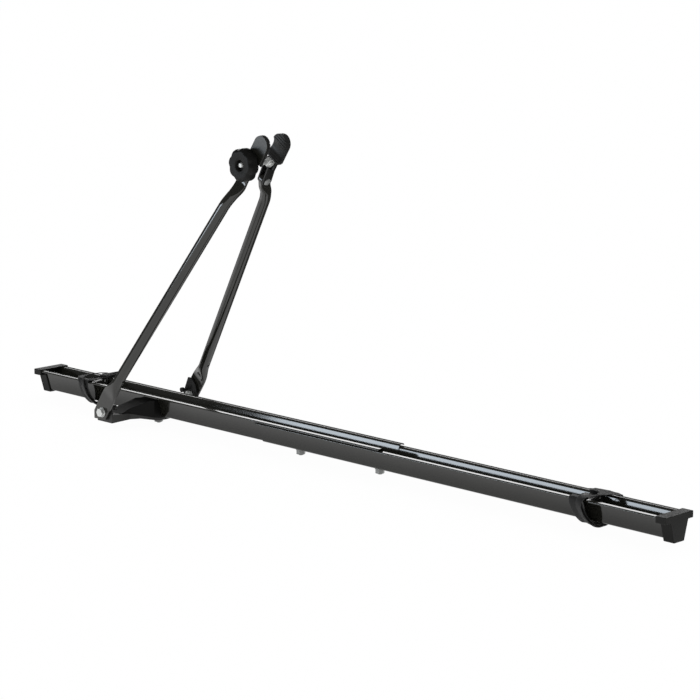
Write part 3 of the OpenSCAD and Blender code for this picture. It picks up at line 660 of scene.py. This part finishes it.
class CARRIER_OT_arms(bpy.types.Operator):
    """Forms both arms from tube: a pressed foot, a straight run, a kink and a pressed head"""

    bl_idname = "carrier.arms"
    bl_label = "Arms"

    def execute(self, context):
        size, coats = context.scene.carrier_arms, context.scene.carrier_coats
        edges = context.scene.carrier_edges
        foot_back, foot_under, drain_at = 21 * MM, 12.8 * MM, 74
        drain_hole, bolt_hole = 2 * MM, 5.2 * MM
        coat = gloss_coat("arm_coat", coats.arm_colour, 0.11, handled=0.46)
        for name, side, head in (("near_arm_tube", -1, near_head), ("far_arm_tube", 1, far_head)):
            mesh = bmesh.new()
            loft(mesh, arm_rings(lower_arm(size) + head(size), side, size.sides))
            cut_by(mesh, PIVOT - Vector((foot_back, 0, 0)), Vector((-1, 0, 0)))
            cut_by(mesh, PIVOT - Vector((0, 0, foot_under)), Vector((0, 0, -1)))
            node = name.replace("_tube", "")
            piece = put_piece(name, mesh, coat, "arm_frame", (node,))
            drain_y = side * lower_y(drain_at)
            carve(piece, rod_mesh(
                on_arm(drain_at, drain_y, -12), on_arm(drain_at, drain_y, -2), drain_hole, 20))
            if side < 0:
                carve(piece, rod_mesh(
                    on_arm(BOLT_AT, -15, HEAD_UP), on_arm(BOLT_AT, -35, HEAD_UP), bolt_hole))
            soften(piece, edges.arm, 1, 45)
        return {"FINISHED"}


# Channel, caps and bracket


class CARRIER_OT_channel(bpy.types.Operator):
    """Coats the two nested lengths of the wheel channel"""

    bl_idname = "carrier.channel"
    bl_label = "Wheel Channel"

    def execute(self, context):
        coats, edges = context.scene.carrier_coats, context.scene.carrier_edges
        coat = gloss_coat("channel_coat", coats.channel_colour, 0.075, form=rolled_form)
        for node in ("front_rail", "rear_rail"):
            dress(node, coat, edges.channel, 2, 50)
        return {"FINISHED"}


class CARRIER_OT_caps(bpy.types.Operator):
    """Finishes the moulded end caps"""

    bl_idname = "carrier.caps"
    bl_label = "End Caps"

    def execute(self, context):
        coats, edges = context.scene.carrier_coats, context.scene.carrier_edges
        plastic = moulded("cap_plastic", toned(coats.moulded_colour, 1.5), 0.42, 900.0)
        for node in ("front_end_cap", "rear_end_cap"):
            dress(node, plastic, edges.cap, 4, 50)
        return {"FINISHED"}


class CARRIER_OT_bracket(bpy.types.Operator):
    """Coats the cross bracket, its saddle and its studs"""

    bl_idname = "carrier.bracket"
    bl_label = "Cross Bracket"

    def execute(self, context):
        coats, edges = context.scene.carrier_coats, context.scene.carrier_edges
        coat = satin_coat("bracket_coat", coats.bracket_colour)
        # The saddle's plastic is toned to 0.6 of the mouldings' colour: painted shade for the channel's
        # shadow that it sits in
        plastic = moulded("saddle_plastic", toned(coats.moulded_colour, 0.6), 0.5, 700.0)
        dress("crossbar", coat, edges.bracket, 3)
        dress("ear_studs", coat, edges.stud, 3)
        dress("rail_saddle", plastic, edges.saddle, 3)
        return {"FINISHED"}


class CARRIER_OT_fasteners(bpy.types.Operator):
    """Plates the bolts, nuts, washers and pins"""

    bl_idname = "carrier.fasteners"
    bl_label = "Fasteners"

    def execute(self, context):
        coats, edges = context.scene.carrier_coats, context.scene.carrier_edges
        bright = zinc_plate("zinc_plate", coats.zinc_colour)
        # Zinc toned to 0.45 and made rougher: a duller plate, plus painted shade for the bolts that sit
        # under the channel
        dull_and_shaded = zinc_plate("dull_and_shaded_zinc_plate", toned(coats.zinc_colour, 0.45), 0.36)
        plated = (
            (bright, ("pivot_bolts", "pivot_nuts", "pivot_washers", "eye_pin", "knob_washer", "knob_nut",
                      "buckle_pins")),
            (dull_and_shaded, ("bracket_bolt", "rail_bolts", "bolt_washers", "bolt_nuts", "jaw_rivet")))
        for zinc, nodes in plated:
            for node in nodes:
                dress(node, zinc, edges.bolt, 2, 28)
        return {"FINISHED"}


# Frame clamp


def on_bolt(radius, turn, across):
    """A point round the clamp bolt's line, in millimetres."""
    return on_arm(BOLT_AT + radius * math.cos(turn), across, HEAD_UP + radius * math.sin(turn))


class CARRIER_OT_jaws(bpy.types.Operator):
    """Finishes the jaw pads and the lever that the far jaw hangs on"""

    bl_idname = "carrier.jaws"
    bl_label = "Jaws"

    def execute(self, context):
        coats, edges = context.scene.carrier_coats, context.scene.carrier_edges
        rubber = pad_rubber("pad_rubber", coats.rubber_colour)
        for node in ("near_jaw_pad", "far_jaw_pad"):
            dress(node, rubber, edges.jaw)
        dress("jaw_lever", satin_coat("lever_coat", coats.bracket_colour), edges.jaw)
        return {"FINISHED"}


class CARRIER_OT_clamp_bolt(bpy.types.Operator):
    """Makes the eye bolt: a turned eye, a short plain neck and a cut thread"""

    bl_idname = "carrier.clamp_bolt"
    bl_label = "Eye Bolt"

    def execute(self, context):
        size, coats = context.scene.carrier_knob, context.scene.carrier_coats
        zinc = zinc_plate("bolt_plate", coats.zinc_colour, 0.3)
        pitch = size.thread_pitch / MM
        eye_y, shank, thread_depth, tip_taper = 17.0, 4.0, 0.62, 0.9
        start, neck, end = eye_y - 7.0, eye_y - 15.0, -46.7
        steps = int((start - end) / pitch * 8)
        rings = []
        for i in range(steps + 1):
            y = blended(start, end, i / steps)
            cut = held((neck - y) / 2.0)
            tip = held(1 - (y - end) / 1.2)
            ring = []
            for turn in around(32):
                wave = abs(((y / pitch + turn / (2 * math.pi)) % 1.0) * 2 - 1)
                radius = shank - thread_depth * cut * wave ** 1.2 - tip_taper * tip
                ring.append(on_bolt(radius, turn, y))
            rings.append(ring)
        mesh = bmesh.new()
        loft(mesh, rings)
        # Radius in the eye, and how far off its middle
        profile = [(3.2, -4.5), (7.2, -4.5), (8.1, -4.0), (8.5, -3.0), (8.5, 3.0), (8.1, 4.0), (7.2, 4.5),
                   (3.2, 4.5)]
        eye = [[on_arm(BOLT_AT + r * math.cos(turn), eye_y + r * math.sin(turn), HEAD_UP + z)
                for r, z in profile] for turn in around(64)]
        loft(mesh, eye, closed=True)
        put_piece("eye_bolt_threaded", mesh, zinc, "clamp_bolt", ("eye_bolt",), 30)
        return {"FINISHED"}


class CARRIER_OT_knob(bpy.types.Operator):
    """Makes the lobed hand knob with its dished face and bolt recess"""

    bl_idname = "carrier.knob"
    bl_label = "Knob"

    def execute(self, context):
        size, coats = context.scene.carrier_knob, context.scene.carrier_coats
        plastic = moulded("knob_plastic", coats.moulded_colour, 0.36, 1300.0)
        outer = size.diameter / MM / 2
        back = -28.2
        # Radius, height over the back and how far the scallops reach in there
        profile = [
            (4.6, 7.1, 0.0), (8.0, 7.1, 0.0), (8.0, 0.0, 0.0), (15.0, 0.0, 0.0), (outer - 5.6, 0.0, 0.3),
            (outer - 3.2, 0.7, 0.7), (outer - 1.2, 2.4, 0.95), (outer - 0.25, 5.0, 1.0),
            (outer, 8.0, 1.0), (outer, 13.0, 1.0), (outer - 0.3, 15.6, 1.0), (outer - 1.2, 18.0, 0.95),
            (outer - 2.8, 19.9, 0.85), (outer - 4.8, 20.8, 0.6), (outer - 6.8, 21.0, 0.35),
            (outer - 9.0, 20.9, 0.12), (14.0, 20.5, 0.0), (10.6, 20.2, 0.0), (9.3, 19.8, 0.0),
            (8.5, 18.8, 0.0), (8.1, 16.5, 0.0), (7.4, 13.6, 0.0), (4.6, 13.0, 0.0)]
        mesh = bmesh.new()
        rings = []
        for turn in around(size.lobes * 24):
            hollow = (0.5 + 0.5 * math.cos(size.lobes * turn)) ** 1.7 * size.scallop / MM
            rings.append([on_bolt(radius - hollow * reach, turn, back - height)
                          for radius, height, reach in profile])
        loft(mesh, rings, closed=True)
        put_piece("clamp_knob_lobed", mesh, plastic, "knob", ("clamp_knob",), 50)
        return {"FINISHED"}


# Wheel straps


def smooth_path(points, steps=9):
    """Points of a smooth curve through the given ones, each with its extra values."""
    path = []
    last = len(points) - 1
    for i in range(last):
        p = [points[max(i - 1, 0)], points[i], points[i + 1], points[min(i + 2, last)]]
        for k in range(steps):
            t = k / steps
            path.append([0.5 * (2 * b + (c - a) * t + (2 * a - 5 * b + 4 * c - d) * t * t
                                + (3 * b - a - 3 * c + d) * t ** 3) for a, b, c, d in zip(*p)])
    path.append(list(points[last]))
    return path


def put_webbing(name, mesh, rows, yarn, replaced):
    """Skins rows of webbing and puts the piece on the channel."""
    skin(mesh, rows)
    put_piece(name, mesh, yarn, "base", replaced, 60)


def webbing_strip(name, points, yarn, size, replaced=()):
    """A strip of webbing through points given as x, y, z, turn in degrees and share of the full width.

    Millimetres from the middle of the carrier, with z over the channel's underside.
    """
    path = smooth_path(points)
    half, depth = size.width / MM / 2, size.thickness / MM / 2
    spots = [Vector(p[:3]) for p in path]
    mesh = bmesh.new()
    weave = mesh.verts.layers.float_vector.new("weave")
    lanes = [-1.0, -0.97, -0.9, -0.6, -0.3, 0.0, 0.3, 0.6, 0.9, 0.97, 1.0]
    rows, run = [], 0.0
    for i, (p, spot) in enumerate(zip(path, spots)):
        along = (spots[min(i + 1, len(spots) - 1)] - spots[max(i - 1, 0)]).normalized()
        if i:
            run += (spot - spots[i - 1]).length
        turn, share = p[3:]
        wide = Vector((1, 0, 0))
        wide = (wide - along * wide.dot(along)).normalized()
        wide = Matrix.Rotation(math.radians(turn), 3, along) @ wide
        out = along.cross(wide)
        row = []
        for face in (1, -1):
            for lane in lanes[::face]:
                selvedge = 1.0 if abs(lane) < 0.95 else (0.72 if abs(lane) < 0.99 else 0.25)
                ripple = 0.16 * math.sin(run * 0.21 + lane * 1.7) * (1 - lane * lane)
                place = spot + wide * (lane * half * share) + out * (face * depth * selvedge + ripple)
                vertex = mesh.verts.new(place * MM + Vector((0, 0, DECK)))
                vertex[weave] = (run * MM, lane * half * share * MM, abs(lane))
                row.append(vertex)
        rows.append(row)
    put_webbing(name, mesh, rows, yarn, replaced)


def strap_loop(middle, dip, under):
    """Points of a strap that dips between the rims under its buckle and runs round the channel.

    The dip lists how far across and how high the webbing lies there, alike on both sides.
    """
    floor = dip[0][1] + 0.1
    near = [(middle, -y, z, 0, 1) for y, z in dip]
    far = [(middle, y, z, 0, 1) for y, z in reversed(dip)]
    return [(middle, 0.4, floor, 0, 1), *near, *[(*point, 0, 1) for point in under], *far,
            (middle, 1.0, floor, 0, 1)]


class CARRIER_OT_straps(bpy.types.Operator):
    """Winds the slack wheel straps round the channel and folds their loose ends"""

    bl_idname = "carrier.straps"
    bl_label = "Wheel Straps"

    def execute(self, context):
        size, coats = context.scene.carrier_straps, context.scene.carrier_coats
        yarn = woven("webbing", coats.webbing_colour, size.rib)
        rear, front = 539, -564
        webbing_strip("rear_strap_loop", strap_loop(
            rear, [(9, 24.3), (12.6, 24.9), (14.3, 27), (15.5, 30), (17.0, 34)],
            [(rear, -19.6, 36.3), (rear, -28.4, 36.5), (539.5, -31.2, 32.6), (541, -30.5, 24),
             (544.5, -24.6, 9.6), (548, -15.5, -1.2), (550.5, -8, -3.6), (551.5, 1, -3.9), (551, 11, -3.3),
             (549, 19, 2.5), (546, 26.5, 13), (542, 30.3, 24), (540, 31.2, 32.6), (rear, 28.4, 36.5),
             (rear, 19.6, 36.3)]),
            yarn, size, ("rear_strap",))
        webbing_strip("rear_strap_fold", [
            (562, -3, 37.2, 25, 0.5), (559.5, -12, 39.2, 10, 0.52), (555.5, -21, 39.0, 0, 0.54),
            (551, -29.6, 38.6, 0, 0.54), (548.5, -34.2, 33.0, 14, 0.54), (548, -34.2, 24.0, 20, 0.54),
            (551.5, -29.0, 10.5, 20, 0.54), (556, -19.5, -1.2, 14, 0.54), (559, -10.5, -5.6, 8, 0.54),
            (560, 0, -6.5, 0, 0.54), (560, 9, -5.9, 0, 0.54), (559, 17, -2.3, 0, 0.54)],
            yarn, size)
        self.leaf("rear_strap_leaf", rear, yarn, size)
        webbing_strip("front_strap_loop", strap_loop(
            front, [(9, 28.2), (12.4, 28.8), (14.1, 31), (15.3, 34), (16.7, 38)],
            [(-563.5, -19.3, 40.2), (-562, -28.4, 40.4), (-561.5, -31.2, 36.6), (-560.5, -30.8, 27),
             (-557.5, -25.4, 11.6), (-554, -15.5, -0.6), (-552, -8, -2.4), (-551, 1, -2.6), (-552, 11, -2.0),
             (-555, 19, 3.8), (-559, 26.5, 14), (-562, 30.3, 26), (-563, 31.2, 36.6), (front, 28.4, 40.4),
             (front, 19.3, 40.2)]),
            yarn, size, ("front_strap",))
        webbing_strip("front_strap_fold", [
            (-571, 31, 42.0, 0, 0.4), (-578, 22, 42.7, 10, 0.38), (-582.5, 9, 42.6, 15, 0.36),
            (-583, -6, 42.6, 10, 0.36), (-579, -19, 42.9, 0, 0.4), (-570, -29.6, 42.5, 0, 0.46),
            (-562, -34.4, 36.6, 12, 0.5), (-557, -34.8, 27, 18, 0.5), (-552.5, -29.5, 12, 18, 0.5),
            (-546.5, -18.5, -1, 10, 0.7), (-542.5, -8.5, -4.6, 0, 0.85), (-542, 1, -5.1, 0, 0.85),
            (-543, 10, -4.5, 0, 0.75)],
            yarn, size)
        webbing_strip("front_strap_end", [
            (-566, 13, 42.9, 0, 0.5), (-556, 20, 43.2, 10, 0.5), (-546, 29, 44.4, 30, 0.4),
            (-537, 31, 46.0, 55, 0.32), (-531, 23, 46.4, 80, 0.3), (-533, 10, 44.8, 60, 0.34),
            (-539, -6, 43.2, 25, 0.36), (-545, -20, 42.4, 0, 0.36), (-548, -27, 42.0, 0, 0.36)],
            yarn, size, ("front_strap_tail",))
        return {"FINISHED"}

    def leaf(self, name, middle, yarn, size):
        """The flat pointed end of the rear strap, which lies over the far half of the trough."""
        # Along the channel from the strap's middle, and where its near and far edges lie
        outline = [(-11, 10, 15), (-6, 9.2, 19), (2, 8.6, 22), (9, 8.2, 22.6), (14, 6.5, 22.6),
                   (17, -3, 22.4), (21, -7, 22.2), (26, -5, 22), (31, 3, 21.8), (36, 9.5, 21.6),
                   (41, 13, 20.8), (46, 16, 19.6)]
        start = outline[0][0]
        half = size.thickness / MM / 2
        lanes = [k / 4 - 1 for k in range(9)]
        mesh = bmesh.new()
        weave = mesh.verts.layers.float_vector.new("weave")
        rows = []
        for x, low, high in outline:
            row = []
            lift = 38.6 + 1.1 * math.sin((x - start) * 0.055) + 0.25 * math.sin(x * 0.4)
            for face in (1, -1):
                for lane in lanes[::face]:
                    y = blended(low, high, (lane + 1) / 2)
                    selvedge = 0.3 if abs(lane) == 1 else 1.0
                    sag = 0.9 * (1 - lane * lane) * math.sin((x - start) * 0.05)
                    place = Vector((middle + x, y, lift - sag + face * half * selvedge))
                    vertex = mesh.verts.new(place * MM + Vector((0, 0, DECK)))
                    vertex[weave] = (x * MM, y * MM, abs(lane))
                    row.append(vertex)
            rows.append(row)
        put_webbing(name, mesh, rows, yarn, ("rear_strap_tail",))


class CARRIER_OT_buckles(bpy.types.Operator):
    """Finishes the cam buckles and their levers"""

    bl_idname = "carrier.buckles"
    bl_label = "Buckles"

    def execute(self, context):
        coats, edges = context.scene.carrier_coats, context.scene.carrier_edges
        coat = satin_coat("buckle_coat", toned(coats.bracket_colour, 1.3))
        for node in ("front_buckle", "rear_buckle", "front_buckle_lever", "rear_buckle_lever"):
            dress(node, coat, edges.buckle)
        return {"FINISHED"}


# Studio


class CARRIER_OT_stage(bpy.types.Operator):
    """Sets the camera, the floor, the room and the lamps"""

    bl_idname = "carrier.stage"
    bl_label = "Stage"

    def execute(self, context):
        scene, size = context.scene, context.scene.carrier_stage
        scene.view_settings.view_transform = "Standard"
        optics = bpy.data.cameras.new("photo_camera")
        optics.lens, optics.sensor_width = size.lens, 36.0
        optics.clip_start, optics.clip_end = 0.05, 60.0
        camera = bpy.data.objects.new("photo_camera", optics)
        eye, aim = Vector(size.eye), Vector(size.aim)
        camera.location = eye
        camera.rotation_mode = "QUATERNION"
        camera.rotation_quaternion = (aim - eye).to_track_quat("-Z", "Y")
        scene.collection.objects.link(camera)
        scene.camera = camera
        self.floor(scene, size)
        self.room(scene, size)
        self.lamp(scene, "strip_lamp", place=(-1.43, -1.99, 0.52), aim=(0.0, 0.03, 0.045),
                  extent=(1.15, 0.36), level=size.strip_level, colour=(0.82, 0.91, 1.0))
        self.lamp(scene, "rim_lamp", place=(-3.15, 3.1, 1.75), aim=(0.0, 0.0, 0.045),
                  extent=(4.4, 1.05), level=size.rim_level, colour=(1, 1, 1))
        return {"FINISHED"}

    def floor(self, scene, size):
        """A wide pale disc. In gloss it shows darker far behind the carrier, and a little right under it,
        where a painted shadow stands in for the carrier's shade in reflections.
        """
        mesh = bmesh.new()
        bmesh.ops.create_circle(mesh, cap_ends=True, segments=64, radius=14.0)
        data = bpy.data.meshes.new("studio_floor")
        mesh.to_mesh(data)
        mesh.free()
        f = finish("studio_floor")
        camera, gloss = self.sees(f)
        y = f.parts(f.place())[1]
        # Painted shadow: right under the carrier the floor shows only this share of its white in gloss
        under = 0.58
        near = under + abs(y + 0.02).rise(0.0, 0.045) * (1 - under)
        shown = self.in_gloss(size, near * (1 - y.rise(0.15, 0.3)))
        grain = f.noise(3.0, detail=2.0)
        paint = f.mixed(grain * 0.03, shade(size.floor_colour, 1.0), shade(size.floor_colour, 0.97))
        matt = f.node("BsdfDiffuse", None, {"Color": paint})
        glow = f.node("Emission", None, {"Color": (1, 1, 1, 1), "Strength": 1.0})
        black = f.node("Emission", None, {"Color": (0, 0, 0, 1), "Strength": 0.0})
        lit = f.node("MixShader", None, (camera.most(gloss * shown) * size.floor_glow, matt, glow))
        dark = gloss * (1 - camera) * (1 - shown)
        both = f.node("MixShader", None, (dark, lit, black))
        f.node("OutputMaterial", None, {"Surface": both})
        data.materials.append(f.owner)
        floor = bpy.data.objects.new("studio_floor", data)
        floor.location.z = -0.4 * MM
        scene.collection.objects.link(floor)

    def sees(self, f):
        """Marks the camera's rays, and those that gloss and glass send on."""
        camera, gloss, glass = [f.node("LightPath", output=name)
                                for name in ("Is Camera Ray", "Is Glossy Ray", "Is Transmission Ray")]
        return camera, gloss.most(glass)

    def in_gloss(self, size, pale):
        """How bright a place shows in gloss, from the unlit side's level up to white."""
        return size.dark_level + (1 - size.dark_level) * pale

    def room(self, scene, size):
        """A white background. In gloss the sky and the room behind the carrier show darker."""
        world = bpy.data.worlds.new("studio_room")
        scene.world = world
        f = Finish(world)
        camera, gloss = self.sees(f)
        y, z = f.parts(f.node("TexCoord", output="Generated"))[1:]
        shown = self.in_gloss(size, (1 - z.rise(-0.04, 0.02)) * (1 - y.rise(0.0, 0.1)))
        direct = camera.most(gloss)
        level = camera.most(gloss * shown) + (1 - direct) * size.room_level
        light = f.node("Background", None, {"Color": (1, 1, 1, 1), "Strength": level})
        f.node("OutputWorld", None, {"Surface": light})

    def lamp(self, scene, name, place, aim, extent, level, colour):
        """An oblong lamp that neither the camera nor matt paint sees."""
        data = bpy.data.lights.new(name, "AREA")
        data.shape, data.size, data.size_y, data.energy = "RECTANGLE", extent[0], extent[1], level
        data.color = colour
        lamp = bpy.data.objects.new(name, data)
        lamp.location = place
        lamp.rotation_mode = "QUATERNION"
        lamp.rotation_quaternion = (Vector(aim) - Vector(place)).to_track_quat("-Z", "Y")
        lamp.visible_camera = lamp.visible_diffuse = False
        scene.collection.objects.link(lamp)


class CARRIER_PT_panel(bpy.types.Panel):
    """Lists the carrier's sizes, colours and steps"""

    bl_idname = "CARRIER_PT_panel"
    bl_label = "Roof Bike Carrier"
    bl_space_type = "VIEW_3D"
    bl_region_type = "UI"
    bl_category = "Carrier"

    def draw(self, context):
        for group in SETTINGS:
            owner = getattr(context.scene, group)
            box = self.layout.box()
            for name in SETTINGS[group].__annotations__:
                box.prop(owner, name)
        for operator in STEPS:
            self.layout.operator(operator.bl_idname)


SETTINGS = {
    "carrier_stage": StageSettings, "carrier_coats": CoatSettings, "carrier_edges": EdgeSettings,
    "carrier_arms": ArmSettings, "carrier_knob": KnobSettings, "carrier_straps": StrapSettings,
}
STEPS = (
    CARRIER_OT_stage, CARRIER_OT_channel, CARRIER_OT_caps, CARRIER_OT_bracket, CARRIER_OT_fasteners,
    CARRIER_OT_arms, CARRIER_OT_jaws, CARRIER_OT_clamp_bolt, CARRIER_OT_knob, CARRIER_OT_straps,
    CARRIER_OT_buckles,
)


def register():
    for kind in (*SETTINGS.values(), *STEPS, CARRIER_PT_panel):
        bpy.utils.register_class(kind)
    for name, kind in SETTINGS.items():
        setattr(bpy.types.Scene, name, bpy.props.PointerProperty(type=kind))


def unregister():
    for name in SETTINGS:
        delattr(bpy.types.Scene, name)
    for kind in (CARRIER_PT_panel, *reversed(STEPS), *reversed(SETTINGS.values())):
        bpy.utils.unregister_class(kind)


def main():
    register()
    for step in STEPS:
        group, name = step.bl_idname.split(".")
        getattr(getattr(bpy.ops, group), name)()
    bpy.context.view_layer.update()


if __name__ == "__main__":
    main()
